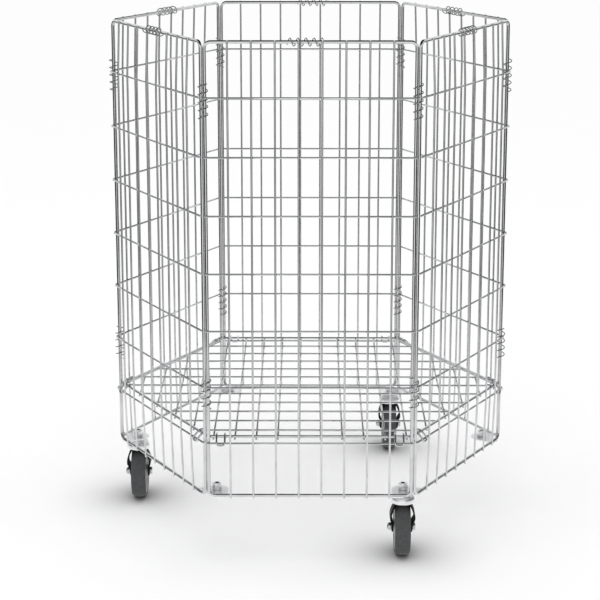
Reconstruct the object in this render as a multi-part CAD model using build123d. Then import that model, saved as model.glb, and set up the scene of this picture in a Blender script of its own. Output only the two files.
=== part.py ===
from build123d import *

import math
import os

# Hexagonal wire container on three swivel castors.
# Six welded mesh panels are joined at the corners by wire coils, a wire shelf hangs between
# them as the floor, and a clamped plate at each bottom corner takes a castor or a plain bolt.
# Millimetres, +Z up, origin on the floor under the middle of the hexagon. The front is -Y.

# ---- driving dimensions -------------------------------------------------------------------

# panels
panel_width = 350.0  # rim wire, centre to centre
panel_height = 789.0
rim_wire = 6.0
rim_bend = 10.0  # centreline radius at a panel's corners
rim_gap = 1.2  # between the side rims of neighbouring panels
mesh_wire = 3.5
row_pitch = 100.0
row_count = 7
first_row_rise = 96.5  # lowest row above the bottom rim's centre
column_pitch = 39.2
column_count = 8

# round wires are swept as prisms with this many sides, which keeps the model light
rim_sides = 8
mesh_sides = 6
bend_steps = 3  # straight steps round a rim's right-angled bend

# wire coils
coil_wire = 1.8
coil_pitch = 13.2
coil_turns = 4.5
coil_steps = 8  # straight steps in a turn
hinge_coil_bore = 14.3
rim_coil_bore = 11.6
# the row that each ring of hinge coils sits at, counted from below, and the way that the
# middle of such a coil faces, in steps of a turn from the rims' plane towards the outside
hinge_coil_rows = {"lower": (1, 7), "upper": (6, 2)}
rim_coil_shifts = {"front": -9.0, "back": 5.0}  # coils that have slid along their rims

# shelf
shelf_rise = 105.5  # rim wire's centre above the panels' bottom rims
shelf_rim_wire = 5.0
shelf_rim_bend = 12.0
shelf_gap = 0.3  # between the shelf's rim and the panels' rims
cross_pitch = 51.7
cross_count = 11
first_cross_inset = 35.3  # from the front rim wire to the first cross wire
long_pitch = 37.1
long_count = 18

# shelf hooks
hook_wire = 3.5
hook_width = 14.2  # leg to leg
hook_place = 154.0  # hook's middle from the middle of a side
hook_overlap = 6.0  # of a leg's end past the shelf rim's centre
hook_reach = 2.0  # of a leg's level stretch outside the shelf rim's centre
hook_drop = 2.8  # of a hook's lowest wire below the row it hangs on

# corner plates and their fasteners
plate_sheet = 2.0
plate_radius = 20.0  # round the stem
stem_inset = 33.0  # stem's axis from the corner of the rims' planes
grip_start = 17.0  # first and last end of a plate's grip, along a rim from that corner
grip_end = 37.0
thread = 8.0  # M8 stems, corner bolts and axles
nut_flats = 14.0
nut_height = 12.0
nut_recess = 4.0  # the bolt's end lies this far below the nut's top
bolt_flats = 13.0
bolt_head = 5.3

# castors
wheel_diameter = 100.0
wheel_width = 27.5
tread_depth = 7.0
tread_crown = 1.6  # fall of the tread from its middle to its shoulder
tread_shoulder = 5.0  # of the bevel between tread and side
hub_diameter = 28.0
hub_proud = 1.45  # of the hub past the tyre's side
web_thickness = 7.0
wheel_rim_thickness = 5.0
wheel_rim_inset = 1.0  # of the wheel's rim from the tyre's side
bush_diameter = 12.5
castor_trail = 17.5  # axle behind the stem
fork_sheet = 2.5
fork_swell = 4.15  # of a leg outwards, where the arch is widest
fork_shoulder = 34.5  # from that widest point up to the fork's top
fork_top_flat = 12.0  # level part of the arch
fork_crown_radius = 5.0  # outer radius beside that level part
fork_leg_flat = 8.5  # upright part of a leg above the axle
fork_leg_end = 10.0  # radius of a leg's round end
fork_leg_root = 14.5  # radius of a leg's upper part
fork_root_drop = 20.0  # middle of that upper part, below the fork's top
fork_pad = 20.0  # depth of the fork's top under the head
head_diameter = 42.0
head_wall = 2.0
head_overlap = 4.0  # of the head's skirt below the fork's top
head_shoulder_rise = 3.5  # of the skirt's upper edge over the fork's top
head_rise = 11.5  # of the head's level top over the fork's top
head_crown = 32.4  # diameter of that level top
head_neck = 20.0
neck_height = 5.0  # from the level top to the corner plate
ring_diameter = 34.0
ring_thickness = 2.5
stem_head_diameter = 12.0
stem_head = 3.4
lock_nut = 7.5  # axle nut's height
axle_end = 0.5  # of the axle past its nut

# clearances
tyre_gap = 5.0  # from the tyre up to the inside of the fork
hub_gap = 0.45  # from the hub to a fork leg
running_gap = 0.05  # radial, of a turning fit
face_gap = 0.1  # between faces that turn or rest on each other
bolt_gap = 0.2  # radial, of a bolt in its hole
bush_end_gap = 0.15
hook_gap = 0.3  # between a hook and the row it hangs on

# ---- derived sizes ------------------------------------------------------------------------

# heights, from the floor up
axle_height = wheel_diameter / 2
fork_top = wheel_diameter + tyre_gap + fork_sheet
fork_arch_centre = fork_top - fork_shoulder
fork_root_height = fork_top - fork_root_drop
head_skirt = fork_top - head_overlap
head_shoulder = fork_top + head_shoulder_rise
head_top = fork_top + head_rise
plate_bottom = head_top + neck_height
plate_top = plate_bottom + plate_sheet
panel_base = (plate_bottom + plate_top) / 2  # bottom rim's centre
panel_top = panel_base + panel_height
panel_middle = (panel_base + panel_top) / 2
shelf_height = panel_base + shelf_rise  # shelf rim's centre

# widths of a castor
hub_width = wheel_width + 2 * hub_proud
fork_inside = hub_width + 2 * hub_gap  # between the legs at the axle
fork_bulge = fork_inside + 2 * (fork_sheet + fork_swell)  # over the legs where widest

# the hexagon and what follows it
sixth = math.radians(60)
corner_setback = (rim_wire + rim_gap) / 2 / math.sin(sixth)  # side rim from the corner
hexagon_side = panel_width + 2 * corner_setback
corner_radius = hexagon_side  # of a regular hexagon
apothem = hexagon_side * math.sin(sixth)  # centre to the plane of a panel's rim
row_offset = (rim_wire + mesh_wire) / 2  # rows lie on the rim's outer side
column_offset = row_offset + mesh_wire  # columns lie on the rows
rows = [panel_base + first_row_rise + k * row_pitch for k in range(row_count)]
columns = [(k - (column_count - 1) / 2) * column_pitch for k in range(column_count)]
shelf_apothem = apothem - (rim_wire + shelf_rim_wire) / 2 - shelf_gap
stem_radius = corner_radius - stem_inset

panel_turns = {
    "front": -90,
    "front_right": -30,
    "back_right": 30,
    "back": 90,
    "back_left": 150,
    "front_left": 210,
}
corner_turns = {
    "right": 0,
    "back_right": 60,
    "back_left": 120,
    "left": 180,
    "front_left": 240,
    "front_right": 300,
}
castor_corners = ("left", "back_right", "front_right")


# ---- helpers ------------------------------------------------------------------------------


def save(name, *shapes):
    """Writes one node from its solids."""
    solids = [solid for shape in shapes for solid in shape.solids()]
    export_step(solids[0] if len(solids) == 1 else Compound(solids), f"parts/{name}.step")


def prism_wire(path, diameter, sides, flat_towards):
    """A wire along a path of lines and arcs, with a flat side facing flat_towards at its start."""
    section = RegularPolygon(
        diameter / 2, sides, major_radius=False, rotation=180 / sides
    )
    start = Plane(origin=path @ 0, x_dir=flat_towards, z_dir=path % 0)
    return sweep(start * section, path=path, transition=Transition.RIGHT)


def straight_wire(start, end, diameter, sides, flat_towards):
    """A straight wire, square at both ends."""
    return prism_wire(Line(start, end), diameter, sides, flat_towards)


def outward(turn, distance, solids):
    """Places solids made with +Y outwards on a side or corner of the hexagon."""
    return [Rot(0, 0, turn - 90) * Pos(0, distance, 0) * solid for solid in solids]


def hex_prism(flats, bottom, top):
    """A hexagon head or nut, standing on the Z axis."""
    outline = RegularPolygon(flats / 2, 6, major_radius=False)
    return Pos(0, 0, bottom) * extrude(outline, top - bottom)


def rod(diameter, bottom, top):
    """A round bar on the Z axis."""
    return Pos(0, 0, bottom) * extrude(Circle(diameter / 2), top - bottom)


# ---- panels -------------------------------------------------------------------------------


def panel_rim():
    """The bent wire round a panel, in the XZ plane."""
    # a step's middle lies on the bend's true radius
    radius = rim_bend / math.cos(math.pi / 4 / bend_steps)
    points = []
    for turn, right, up in ((0, 1, 1), (90, -1, 1), (180, -1, -1), (270, 1, -1)):
        centre_x = right * (panel_width / 2 - rim_bend)
        centre_z = panel_middle + up * (panel_height / 2 - rim_bend)
        for k in range(bend_steps):
            angle = math.radians(turn + 90 * (k + 0.5) / bend_steps)
            points.append(
                (centre_x + radius * math.cos(angle), 0, centre_z + radius * math.sin(angle))
            )
    # the loop is closed in the middle of its bottom side
    seam = (0, 0, panel_base)
    half = 3 * bend_steps
    path = Polyline(seam, *points[half:], *points[:half], close=True)
    return prism_wire(path, rim_wire, rim_sides, (0, 1, 0))


def panel_row(height):
    """A level wire on the rim's outer side, flush with the rim at both ends."""
    half = (panel_width + rim_wire) / 2
    return straight_wire(
        (-half, row_offset, height),
        (half, row_offset, height),
        mesh_wire,
        mesh_sides,
        (0, 1, 0),
    )


def panel_column(place):
    """An upright wire over the rows, whose ends lean in to the top and bottom rims."""
    low_end = panel_base - rim_wire / 2
    high_end = panel_top + rim_wire / 2
    path = Polyline(
        (place, row_offset, low_end),
        (place, column_offset, rows[0] - mesh_wire),
        (place, column_offset, rows[-1] + mesh_wire),
        (place, row_offset, high_end),
    )
    return prism_wire(path, mesh_wire, mesh_sides, (0, 1, 0))


def make_panels():
    wires = [panel_rim()]
    wires += [panel_row(height) for height in rows]
    wires += [panel_column(place) for place in columns]
    for name, turn in panel_turns.items():
        save(f"panel_{name}", *outward(turn, apothem, wires))


# ---- coils --------------------------------------------------------------------------------


def coil(bore, facing):
    """A spiral of straight steps round the Z axis, whose middle is at the origin's height.

    facing is where that middle lies, in steps of a turn from the X axis."""
    # the steps' middles, not their ends, clear the bore
    radius = (bore + coil_wire) / 2 / math.cos(math.pi / coil_steps)
    steps = round(coil_turns * coil_steps)
    points = []
    for k in range(steps + 1):
        turn = 2 * math.pi * (facing + k - steps / 2) / coil_steps
        height = coil_pitch * (k - steps / 2) / coil_steps
        points.append((radius * math.cos(turn), radius * math.sin(turn), height))
    path = Polyline(*points)
    section = Rectangle(coil_wire, coil_wire)
    start = Plane(origin=path @ 0, z_dir=path % 0)
    return sweep(start * section, path=path, transition=Transition.RIGHT)


def make_hinge_coils():
    """Coils round the two side rims at each corner."""
    distance = corner_radius - corner_setback * math.cos(sixth)
    inwards = coil_steps * 3 // 4  # steps from the X axis to the middle of the hexagon
    for name, (row, facing) in hinge_coil_rows.items():
        # a row leaves the coil on each side, half way between the turns if the wire is
        # level with the row where it faces inwards
        climb = coil_pitch * ((inwards - facing) % coil_steps) / coil_steps
        placed = Pos(0, 0, rows[row] - climb) * coil(hinge_coil_bore, facing)
        coils = []
        for turn in corner_turns.values():
            coils += outward(turn, distance, [placed])
        save(f"hinge_coils_{name}", *coils)


def make_rim_coils():
    """One coil round the middle of each panel's top rim and the columns' ends there."""
    # the coil lies against the rim's inner side and the columns' outer side
    offset = (row_offset + mesh_wire / 2 - rim_wire / 2) / 2
    coils = []
    for name, turn in panel_turns.items():
        shift = rim_coil_shifts.get(name, 0)
        along = -shift if turn < 0 else shift
        # under the rim, the turns pass half way between the columns
        facing = round(along / coil_pitch * coil_steps)
        placed = Pos(along, offset, panel_top) * Rot(0, 90, 0) * coil(rim_coil_bore, facing)
        coils += outward(turn, apothem, [placed])
    save("rim_coils", *coils)


# ---- shelf --------------------------------------------------------------------------------


def shelf_rim():
    outline = RegularPolygon(shelf_apothem, 6, major_radius=False)
    outline = fillet(outline.vertices(), shelf_rim_bend)
    loop = (Pos(0, 0, shelf_height) * outline).wire()
    return prism_wire(loop, shelf_rim_wire, rim_sides, (0, 0, 1))


def shelf_wires():
    """Long wires under the rim, and cross wires on them inside the rim."""
    long_height = shelf_height - (shelf_rim_wire + mesh_wire) / 2
    cross_height = long_height + mesh_wire
    inside = shelf_apothem - shelf_rim_wire / 2
    outside = shelf_apothem + shelf_rim_wire / 2
    wires = []
    for k in range(long_count):
        x = (k - (long_count - 1) / 2) * long_pitch
        edge = abs(x) + mesh_wire / 2
        slanted = (outside - edge * math.sin(sixth)) / math.cos(sixth)
        half = min(outside, slanted)
        wires.append(
            straight_wire(
                (x, -half, long_height), (x, half, long_height), mesh_wire, mesh_sides, (0, 0, 1)
            )
        )
    for k in range(cross_count):
        y = -shelf_apothem + first_cross_inset + k * cross_pitch
        edge = abs(y) + mesh_wire / 2
        half = (inside - edge * math.cos(sixth)) / math.sin(sixth)
        wires.append(
            straight_wire(
                (-half, y, cross_height), (half, y, cross_height), mesh_wire, mesh_sides, (0, 0, 1)
            )
        )
    return wires


def shelf_hook():
    """A U of wire from the shelf's rim over a panel's lowest row, with +Y outwards."""
    rest = (row_offset, rows[0])  # the row it hangs on, from the panel's rim plane
    level = shelf_height + (shelf_rim_wire + hook_wire) / 2
    from_rim_plane = shelf_apothem - apothem
    knee = (from_rim_plane + hook_reach, level)
    across, down = rest[0] - knee[0], rest[1] - level
    spacing = (mesh_wire + hook_wire) / 2 + hook_gap
    # the slanting stretch just clears the row
    slope = math.atan2(down, across) + math.asin(spacing / math.hypot(across, down))
    outer = rest[0] + spacing
    bend = knee[1] + (outer - knee[0]) * math.tan(slope)
    side_view = [
        (knee[0] - hook_reach - hook_overlap, level),
        knee,
        (outer, bend),
        (outer, rows[0] - hook_drop),
    ]
    legs = [(-hook_width / 2, *point) for point in side_view]
    legs += [(hook_width / 2, *point) for point in reversed(side_view)]
    return prism_wire(Polyline(*legs), hook_wire, mesh_sides, (0, 0, 1))


def make_shelf():
    save("shelf_grid", shelf_rim(), *shelf_wires())
    hook = shelf_hook()
    pair = [Pos(-hook_place, 0, 0) * hook, Pos(hook_place, 0, 0) * hook]
    hooks = []
    for turn in panel_turns.values():
        hooks += outward(turn, apothem, pair)
    save("shelf_hooks", *hooks)


# ---- corner plates ------------------------------------------------------------------------


def grip(side):
    """A gutter under one bottom rim, from grip_start to grip_end along it."""
    clear = rim_wire / 2 + face_gap
    inner = RegularPolygon(clear, rim_sides, major_radius=False, rotation=180 / rim_sides)
    wall = RegularPolygon(
        clear + plate_sheet, rim_sides, major_radius=False, rotation=180 / rim_sides
    )
    reach = 2 * (clear + plate_sheet)
    lower_half = Pos(0, -reach / 2) * Rectangle(2 * reach, reach)
    ring = (wall - inner) & lower_half
    # section in a plane across the rim, with its X away from the stem
    corner = Vector(stem_inset, 0, panel_base)
    along = Vector(-math.cos(sixth), side * math.sin(sixth), 0)
    across = Vector(math.sin(sixth), side * math.cos(sixth), 0)
    plane = Plane(
        origin=corner + along * grip_start, x_dir=across, z_dir=across.cross(Vector(0, 0, 1))
    )
    length = grip_end - grip_start
    direction = 1 if plane.z_dir.dot(along) > 0 else -1
    return extrude(plane * ring, length * direction), along, across


def corner_plate():
    """The plate about its stem, with +X towards the corner of the hexagon."""
    edges = [Circle(plate_radius).edge()]
    grips = []
    inset = rim_wire / 2 + face_gap
    for side in (-1, 1):
        gutter, along, across = grip(side)
        grips.append(gutter)
        base = Vector(stem_inset, 0, 0) - across * inset
        edges.append(Line(base + along * grip_start, base + along * grip_end).edge())
    outline = make_hull(edges)
    plate = Pos(0, 0, plate_bottom) * extrude(outline, plate_sheet)
    plate = plate + grips[0] + grips[1]
    return plate - rod(thread + 2 * bolt_gap, plate_bottom - 1, plate_top + 1)


def at_corner(turn, solid):
    """Moves a solid made about its stem, with +X outwards, to a corner."""
    return Rot(0, 0, turn) * Pos(stem_radius, 0, 0) * solid


def make_corner_plates():
    plate = corner_plate()
    nut = hex_prism(nut_flats, plate_top, plate_top + nut_height)
    nut -= rod(thread, plate_top - 1, plate_top + nut_height + 1)
    bolt = hex_prism(bolt_flats, plate_bottom - bolt_head, plate_bottom)
    bolt += rod(thread, plate_bottom, plate_top + nut_height - nut_recess)
    nuts, bolts = [], []
    for name, turn in corner_turns.items():
        save(f"corner_plate_{name}", at_corner(turn, plate))
        nuts.append(at_corner(turn, nut))
        if name not in castor_corners:
            bolts.append(at_corner(turn, bolt))
    save("corner_nuts", *nuts)
    save("corner_bolts", *bolts)


# ---- castors ------------------------------------------------------------------------------
# Made about the stem's axis, with the wheel trailing towards +Y, and moved without turning.


def on_axle(profile):
    """Spins a profile drawn with X along the axle and Y as its radius."""
    axle = Axis((0, castor_trail, axle_height), (1, 0, 0))
    plane = Plane(origin=(0, castor_trail, axle_height), x_dir=(1, 0, 0), z_dir=(0, -1, 0))
    return revolve(plane * profile, axis=axle)


def tyre():
    half, outer = wheel_width / 2, wheel_diameter / 2
    inner = outer - tread_depth
    crown = half - tread_shoulder
    edge = outer - tread_crown
    right = [(half, inner), (half, edge - tread_shoulder), (crown, edge)]
    tread = ThreePointArc((crown, edge), (0, outer), (-crown, edge))
    sides = [Polyline(*right), Polyline(*[(-x, radius) for x, radius in right])]
    bore = Line((half, inner), (-half, inner))
    return on_axle(make_face([*sides, tread, bore]))


def wheel():
    """Moulded wheel: hub, web and rim in one, turning on the bush."""
    bore = bush_diameter / 2 + running_gap
    outer = wheel_diameter / 2 - tread_depth
    rim_half = wheel_width / 2 - wheel_rim_inset
    web_half = web_thickness / 2
    under_rim = outer - wheel_rim_thickness
    right = [
        (hub_width / 2, bore),
        (hub_width / 2, hub_diameter / 2),
        (web_half, hub_diameter / 2),
        (web_half, under_rim),
        (rim_half, under_rim),
        (rim_half, outer),
    ]
    left = [(-x, radius) for x, radius in reversed(right)]
    return on_axle(make_face(Polyline(*right, *left, close=True)))


def along_axle(shape, start, turn=90):
    """Lays a shape made on the Z axis along the axle, from start towards +X.

    A turn of -90 lays it towards -X."""
    return Pos(start, castor_trail, axle_height) * Rot(0, turn, 0) * shape


def bush():
    length = fork_inside - 2 * bush_end_gap
    tube = rod(bush_diameter, 0, length) - rod(thread + 2 * bolt_gap, -1, length + 1)
    return along_axle(tube, -length / 2)


def axle_bolt():
    outside = fork_inside / 2 + fork_sheet
    shank = 2 * outside + lock_nut + axle_end
    bolt = hex_prism(bolt_flats, -bolt_head, 0) + rod(thread, 0, shank)
    return along_axle(bolt, outside, -90)


def axle_nut():
    nut = hex_prism(bolt_flats, 0, lock_nut) - rod(thread, -1, lock_nut + 1)
    return along_axle(nut, -fork_inside / 2 - fork_sheet, -90)


def fork_arch(grow):
    """Half outline of the arch seen along Y, moved out by grow.

    From the upright leg two equal arcs swing out to the widest point, and two more lead
    over the shoulder to the level top. Each arc runs smoothly into the next."""
    foot = fork_inside / 2 + fork_sheet
    side = fork_bulge / 2
    flat = fork_top_flat / 2
    leg_top = axle_height + fork_leg_flat
    rise = fork_arch_centre - leg_top
    lean = 2 * math.degrees(math.atan2(fork_swell, rise))
    swing = rise / 2 / math.sin(math.radians(lean))  # radius of both lower arcs
    # the shoulder's radius follows from the crown's, because they meet smoothly
    crown = fork_crown_radius
    across = side - flat
    shoulder = (across**2 + fork_shoulder**2 - 2 * fork_shoulder * crown) / 2 / (across - crown)
    meeting = math.degrees(math.atan2(fork_shoulder - crown, shoulder - across))
    return [
        Line((foot + grow, 0), (foot + grow, leg_top)),
        CenterArc((foot + swing, leg_top), swing - grow, 180 - lean, lean),
        CenterArc((side - swing, fork_arch_centre), swing + grow, -lean, lean),
        CenterArc((side - shoulder, fork_arch_centre), shoulder + grow, 0, meeting),
        CenterArc((flat, fork_top - crown), crown + grow, meeting, 90 - meeting),
        Line((flat, fork_top + grow), (0, fork_top + grow)),
    ]


def arch_face(grow):
    right = fork_arch(grow)
    left = [mirror(line, Plane.YZ) for line in right]
    foot = right[0] @ 0
    base = Line((-foot.X, foot.Y), (foot.X, foot.Y))
    return make_face([*right, *left, base])


def fork():
    """Sheet bent to an arch, with its legs cut to a tapering outline."""
    sheet = arch_face(0) - arch_face(-fork_sheet)
    depth = 2 * (castor_trail + fork_leg_root + fork_leg_end)
    front_view = Plane(origin=(0, depth / 2, 0), x_dir=(1, 0, 0), z_dir=(0, -1, 0))
    arch = extrude(front_view * sheet, depth)
    leg = make_hull(
        [
            (Pos(castor_trail, axle_height) * Circle(fork_leg_end)).edge(),
            (Pos(0, fork_root_height) * Circle(fork_leg_root)).edge(),
        ]
    )
    pad_height = fork_top - fork_root_height + 1
    leg += Pos(0, fork_root_height + pad_height / 2) * Rectangle(fork_pad, pad_height)
    side_view = Plane(origin=(-fork_bulge, 0, 0), x_dir=(0, 1, 0), z_dir=(1, 0, 0))
    body = arch & extrude(side_view * leg, 2 * fork_bulge)
    body -= along_axle(rod(thread + 2 * bolt_gap, 0, 2 * fork_bulge), -fork_bulge)
    return body - rod(thread + 2 * running_gap, fork_top - 2 * fork_sheet, fork_top + 1)


def thrust_ring():
    ring = rod(ring_diameter, fork_top, fork_top + ring_thickness)
    return ring - rod(thread + 2 * bolt_gap, fork_top - 1, fork_top + ring_thickness + 1)


def castor_head():
    """Cap over the fork's top, with a neck up to the corner plate."""
    skirt = head_diameter / 2
    bore = thread / 2 + bolt_gap
    roof = fork_top + ring_thickness + face_gap
    profile = Polyline(
        (bore, roof),
        (skirt - head_wall, roof),
        (skirt - head_wall, head_skirt),
        (skirt, head_skirt),
        (skirt, head_shoulder),
        (head_crown / 2, head_top),
        (head_neck / 2, head_top),
        (head_neck / 2, plate_bottom),
        (bore, plate_bottom),
        close=True,
    )
    return revolve(Plane.XZ * make_face(profile), axis=Axis.Z)


def stem():
    """King bolt: its low head carries the fork, its thread holds the corner nut."""
    under_fork = fork_top - fork_sheet - face_gap
    head = rod(stem_head_diameter, under_fork - stem_head, under_fork)
    return head + rod(thread, under_fork, plate_top + nut_height - nut_recess)


def make_castors():
    pieces = {
        "thrust_ring": thrust_ring(),
        "fork": fork(),
        "axle_bolt": axle_bolt(),
        "axle_nut": axle_nut(),
        "bush": bush(),
        "wheel": wheel(),
        "tyre": tyre(),
    }
    stems, heads = [], []
    for corner in castor_corners:
        direction = math.radians(corner_turns[corner])
        place = Pos(stem_radius * math.cos(direction), stem_radius * math.sin(direction), 0)
        stems.append(place * stem())
        heads.append(place * castor_head())
        for name, solid in pieces.items():
            save(f"castor_{corner}_{name}", place * solid)
    save("castor_stems", *stems)
    save("castor_heads", *heads)


# ---- build --------------------------------------------------------------------------------

os.makedirs("parts", exist_ok=True)
make_panels()
make_hinge_coils()
make_rim_coils()
make_shelf()
make_corner_plates()
make_castors()
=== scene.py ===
import bpy
import math

from mathutils import Matrix, Vector


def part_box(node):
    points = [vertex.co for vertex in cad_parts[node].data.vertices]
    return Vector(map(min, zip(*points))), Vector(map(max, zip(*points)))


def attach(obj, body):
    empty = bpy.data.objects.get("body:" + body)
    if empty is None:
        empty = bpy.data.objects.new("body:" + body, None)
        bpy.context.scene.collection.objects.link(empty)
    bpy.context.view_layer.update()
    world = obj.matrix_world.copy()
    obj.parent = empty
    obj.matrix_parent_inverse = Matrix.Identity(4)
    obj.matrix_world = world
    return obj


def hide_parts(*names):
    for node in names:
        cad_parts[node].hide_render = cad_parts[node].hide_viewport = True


# Hexagonal wire container on three castors. Metres, +Z up, front towards -Y.

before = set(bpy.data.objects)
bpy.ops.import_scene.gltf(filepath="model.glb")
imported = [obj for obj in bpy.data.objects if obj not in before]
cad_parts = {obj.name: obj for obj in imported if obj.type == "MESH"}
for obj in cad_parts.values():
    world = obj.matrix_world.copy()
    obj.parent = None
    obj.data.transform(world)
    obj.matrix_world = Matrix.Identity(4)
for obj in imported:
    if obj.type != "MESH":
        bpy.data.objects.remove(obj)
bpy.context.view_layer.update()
mm = 0.001
print("frame loaded:", len(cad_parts), "nodes")

toolLook = {
    "mergeGap": 0.005 * mm,  # corners of a mesh this near become one
    "pathGap": 0.01 * mm,  # a path that ends this near its start is closed
    "placeGap": 0.1 * mm,  # how near a path's corner lies to the place asked for
    "cutEdge": 0.25 * mm,  # bevel on the cut ends of straight wires
    "softSteps": 2,
}
over = 1 * mm  # how far a cutting shape reaches past its piece


def deselectAll():
    if bpy.context.mode != "OBJECT":
        bpy.ops.object.mode_set(mode="OBJECT")
    bpy.ops.object.select_all(action="DESELECT")


def pick(*pieces):
    deselectAll()
    for piece in pieces:
        piece.select_set(True)
    bpy.context.view_layer.objects.active = pieces[0]


def named(name):
    piece = bpy.context.object
    piece.name = name
    piece.data.name = name
    return piece


def settle(piece):  # moves a piece's place, turn and scale into its mesh
    pick(piece)
    bpy.ops.object.transform_apply(location=True, rotation=True, scale=True)
    return piece


def finishModifiers(piece):
    pick(piece)
    for modifier in list(piece.modifiers):
        bpy.ops.object.modifier_apply(modifier=modifier.name)
    return piece


def joined(name, pieces):
    pick(*pieces)
    bpy.ops.object.join()
    return named(name)


def copied(piece, name, matrix):  # a copy with its own mesh, moved by the matrix
    pick(piece)
    bpy.ops.object.duplicate()
    twin = named(name)
    twin.matrix_world = matrix @ twin.matrix_world
    return settle(twin)


def discard(*pieces):
    pick(*pieces)
    bpy.ops.object.delete()


def cylinder(name, sides, radius, depth, place, turn=(0, 0, 0)):
    deselectAll()
    bpy.ops.mesh.primitive_cylinder_add(
        vertices=sides, radius=radius, depth=depth, location=place, rotation=turn
    )
    return settle(named(name))


def circle(name, sides, radius, place, turn=(0, 0, 0), fill="NOTHING"):
    deselectAll()
    bpy.ops.mesh.primitive_circle_add(
        vertices=sides, radius=radius, fill_type=fill, location=place, rotation=turn
    )
    return settle(named(name))


def editAll(piece):  # opens edit mode with everything selected
    pick(piece)
    bpy.ops.object.mode_set(mode="EDIT")
    bpy.ops.mesh.select_all(action="SELECT")


def editVertices(piece, test):  # opens edit mode with the vertices that pass the test selected
    pick(piece)
    bpy.ops.object.mode_set(mode="EDIT")
    bpy.ops.mesh.select_mode(type="VERT")
    bpy.ops.mesh.select_all(action="DESELECT")
    bpy.ops.object.mode_set(mode="OBJECT")
    for vertex in piece.data.vertices:
        vertex.select = test(vertex.co)
    bpy.ops.object.mode_set(mode="EDIT")


def extruded(piece, step):
    editAll(piece)
    bpy.ops.mesh.extrude_region_move(TRANSFORM_OT_translate={"value": step})
    deselectAll()
    return piece


def smoothed(piece, angle):  # edges sharper than the angle, in degrees, stay crisp
    pick(piece)
    bpy.ops.object.shade_smooth_by_angle(angle=math.radians(angle))
    return piece


def tidyShell(piece):  # one closed skin, facing outwards
    editAll(piece)
    bpy.ops.mesh.remove_doubles(threshold=toolLook["mergeGap"])
    bpy.ops.mesh.normals_make_consistent(inside=False)
    bpy.ops.object.mode_set(mode="OBJECT")
    return piece


def hullOf(piece):  # the tightest skin without hollows
    editAll(piece)
    bpy.ops.mesh.convex_hull()
    return tidyShell(piece)


def drawnPath(name, points):  # a line of edges, from one point extruded again and again
    deselectAll()
    bpy.ops.mesh.primitive_plane_add(size=mm, location=points[0])
    path = named(name)
    bpy.ops.object.mode_set(mode="EDIT")
    bpy.ops.mesh.select_mode(type="VERT")
    bpy.ops.mesh.merge(type="CENTER")
    for here, there in zip(points, points[1:]):
        step = Vector(there) - Vector(here)
        bpy.ops.mesh.extrude_region_move(TRANSFORM_OT_translate={"value": step})
    bpy.ops.mesh.select_all(action="SELECT")
    bpy.ops.mesh.remove_doubles(threshold=toolLook["pathGap"])
    return settle(path)


def roundCorners(path, places, reach, steps):  # rounds a path at the places, from reach before to reach after
    near = toolLook["placeGap"]
    editVertices(path, lambda co: any((co - Vector(place)).length < near for place in places))
    bpy.ops.mesh.bevel(offset=reach, segments=steps, affect="VERTICES")
    deselectAll()


def wireAlong(path, diameter, sides):  # a round wire along a path of edges
    name = path.name
    pick(path)
    bpy.ops.object.convert(target="CURVE")
    curve = bpy.context.object.data
    curve.bevel_depth = diameter / 2
    curve.bevel_resolution = sides // 2 - 2
    curve.use_fill_caps = True
    bpy.ops.object.convert(target="MESH")
    return smoothed(tidyShell(named(name)), 50)


def bevelled(piece, width, steps, angle):  # bevels the edges sharper than the angle, in degrees
    edge = piece.modifiers.new("edge", "BEVEL")
    edge.width = width
    edge.segments = steps
    edge.limit_method = "ANGLE"
    edge.angle_limit = math.radians(angle)
    return finishModifiers(piece)


def softenEdges(piece, width, angle):
    return bevelled(piece, width, toolLook["softSteps"], angle)


def straightWire(name, start, end, diameter, sides):
    start, end = Vector(start), Vector(end)
    along = end - start
    turn = along.to_track_quat("Z", "Y").to_euler()
    wire = cylinder(name, sides, diameter / 2, along.length, (start + end) / 2, turn)
    return smoothed(bevelled(wire, toolLook["cutEdge"], 1, 60), 50)


def repeated(piece, count, step):
    array = piece.modifiers.new("row", "ARRAY")
    array.use_relative_offset = False
    array.use_constant_offset = True
    array.constant_offset_displace = step
    array.count = count
    return finishModifiers(piece)


def evenly(count, pitch):  # places at a pitch, centred on nought
    return [(k - (count - 1) / 2) * pitch for k in range(count)]


def turned(name, outline, steps, softEdge=0, softSteps=2, centre=(0, 0, 0), axis=(0, 0, 1)):  # as on a lathe
    path = drawnPath(name, [*outline, outline[0]])
    if softEdge:
        editVertices(path, lambda co: True)
        bpy.ops.mesh.bevel(offset=softEdge, segments=softSteps, affect="VERTICES")
    editAll(path)
    bpy.ops.mesh.spin(steps=steps, angle=math.tau, center=centre, axis=axis)
    return smoothed(tidyShell(path), 30)


def cutWith(piece, tool, operation):
    boolean = piece.modifiers.new("cut", "BOOLEAN")
    boolean.object = tool
    boolean.operation = operation
    boolean.solver = "EXACT"
    finishModifiers(piece)
    discard(tool)
    return piece


def outward(turn, distance):  # from "+Y is outwards" to a side or corner of the hexagon
    return Matrix.Rotation(math.radians(turn - 90), 4, "Z") @ Matrix.Translation((0, distance, 0))


def coat(piece, *materials):
    piece.data.materials.clear()
    for material in materials:
        piece.data.materials.append(material)


def dress(piece, body, material, node):
    if not piece.data.materials:
        coat(piece, material)
    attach(piece, body)
    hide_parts(node)


def nodeMaterial(name):
    material = bpy.data.materials.new(name)
    material.use_nodes = True
    return material, material.node_tree.nodes, material.node_tree.links


def noiseNode(nodes, links, place, scale, detail):
    noise = nodes.new("ShaderNodeTexNoise")
    noise.inputs["Scale"].default_value = scale
    noise.inputs["Detail"].default_value = detail
    links.new(place.outputs["Object"], noise.inputs["Vector"])
    return noise


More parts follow.
